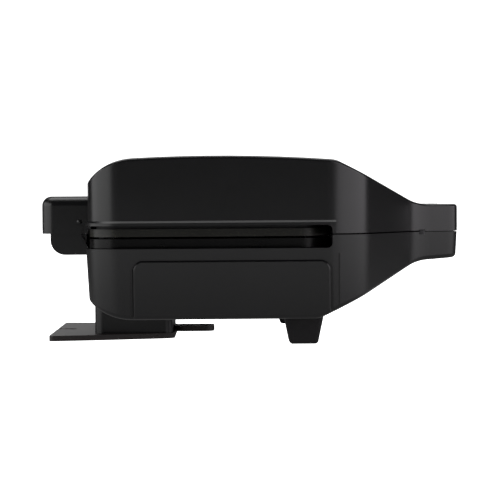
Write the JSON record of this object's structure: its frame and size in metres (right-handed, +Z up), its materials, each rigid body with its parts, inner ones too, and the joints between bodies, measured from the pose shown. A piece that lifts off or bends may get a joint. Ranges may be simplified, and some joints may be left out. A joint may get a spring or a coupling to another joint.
{
  "type": "waffle maker",
  "caption": "Two-slice waffle maker with a hinged lid, cast cooking plates, a tapering two-part handle and a cord-wrap stand under the rear.",
  "frame": {"origin": "on the table, under the middle of the outline's bounding box", "axes": "+X from the hinge to the handle's end, +Y to the left seen from the hinge towards the handle, +Z up"},
  "size_m": [0.2474, 0.226, 0.1074],
  "materials": {
    "casing_plastic": "fine spark texture, low sheen",
    "bezel_plastic": "matt",
    "lower_coating": "non-stick coating, satin",
    "upper_coating": "non-stick coating with fine speckle, satin",
    "heater_sheath": "dull steel sheath",
    "sheet_steel": "plain rolled",
    "pin_steel": "turned",
    "screw_steel": "zinc plated",
    "control_metal": "plain",
    "wrap_plastic": "satin",
    "gland_rubber": "matt",
    "bumper_silicone": "matt",
    "lens_clear": "clear moulded",
    "lamp_glass": "clear",
    "inner_plastic": "plain",
    "lead_insulation": "plain"
  },
  "bodies": {
    "base": {"base_casing": "casing_plastic", "base_bezel": "bezel_plastic", "lower_waffle_plate": "lower_coating", "lower_heating_element": "heater_sheath", "lower_element_clamps": "sheet_steel", "lower_heat_shield": "sheet_steel", "lower_thermostat": "control_metal", "terminal_block": "inner_plastic", "base_hinge_housing": "casing_plastic", "base_hinge_bracket_right": "sheet_steel", "base_hinge_bracket_left": "sheet_steel", "hinge_pin_right": "pin_steel", "hinge_pin_left": "pin_steel", "cord_wrap_plate": "wrap_plastic", "cord_wrap_block": "casing_plastic", "cord_gland": "gland_rubber", "front_foot_right": "gland_rubber", "front_foot_left": "gland_rubber", "handle_bumper_right": "bumper_silicone", "handle_bumper_left": "bumper_silicone", "base_leads": "lead_insulation", "base_casing_screws": "screw_steel", "foot_screws": "screw_steel"},
    "lid": {"lid_casing": "casing_plastic", "lid_bezel": "bezel_plastic", "upper_waffle_plate": "upper_coating", "upper_heating_element": "heater_sheath", "upper_element_clamps": "sheet_steel", "upper_heat_shield": "sheet_steel", "upper_thermal_fuse": "control_metal", "lid_hinge_cap": "casing_plastic", "lid_hinge_bracket_right": "sheet_steel", "lid_hinge_bracket_left": "sheet_steel", "indicator_lens": "lens_clear", "indicator_lamps": "lamp_glass", "lamp_holder": "inner_plastic", "lid_leads": "lead_insulation", "lid_casing_screws": "screw_steel"}
  },
  "joints": [
    {"name": "lid_hinge", "type": "hinge", "parent": "base", "child": "lid", "pos_m": [-0.1016, 0, 0.0661], "axis": [0, -1, 0], "range_deg": [0, 95]}
  ]
}
